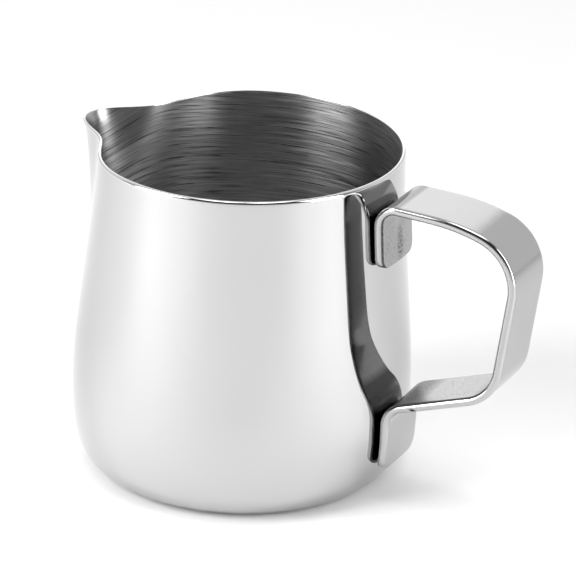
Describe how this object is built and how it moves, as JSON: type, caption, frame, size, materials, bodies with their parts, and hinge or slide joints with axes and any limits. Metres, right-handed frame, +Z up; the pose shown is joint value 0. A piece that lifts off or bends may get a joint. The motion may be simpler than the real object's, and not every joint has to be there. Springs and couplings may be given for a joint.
{
  "type": "milk frothing pitcher",
  "caption": "Small stainless steel milk frothing pitcher: a bellied cup with a pressed V spout and a welded bent-strip handle.",
  "frame": {"origin": "centre of the flat base, on the cup's axis", "axes": "+Z up along the cup's axis, +X towards the handle, -X towards the spout, XZ is the plane of symmetry"},
  "size_m": [0.1175, 0.082, 0.0799],
  "materials": {
    "polished_steel": "mirror-polished stainless steel outside, circumferentially brushed inside",
    "strip_steel": "fine satin stainless steel with polished edges",
    "weld_steel": "dull fused steel, hidden between the flange and the wall"
  },
  "bodies": {
    "root": {"pitcher_body": "polished_steel", "handle_strip": "strip_steel", "upper_weld_top": "weld_steel", "upper_weld_bottom": "weld_steel", "lower_weld_top": "weld_steel", "lower_weld_bottom": "weld_steel"}
  },
  "joints": []
}
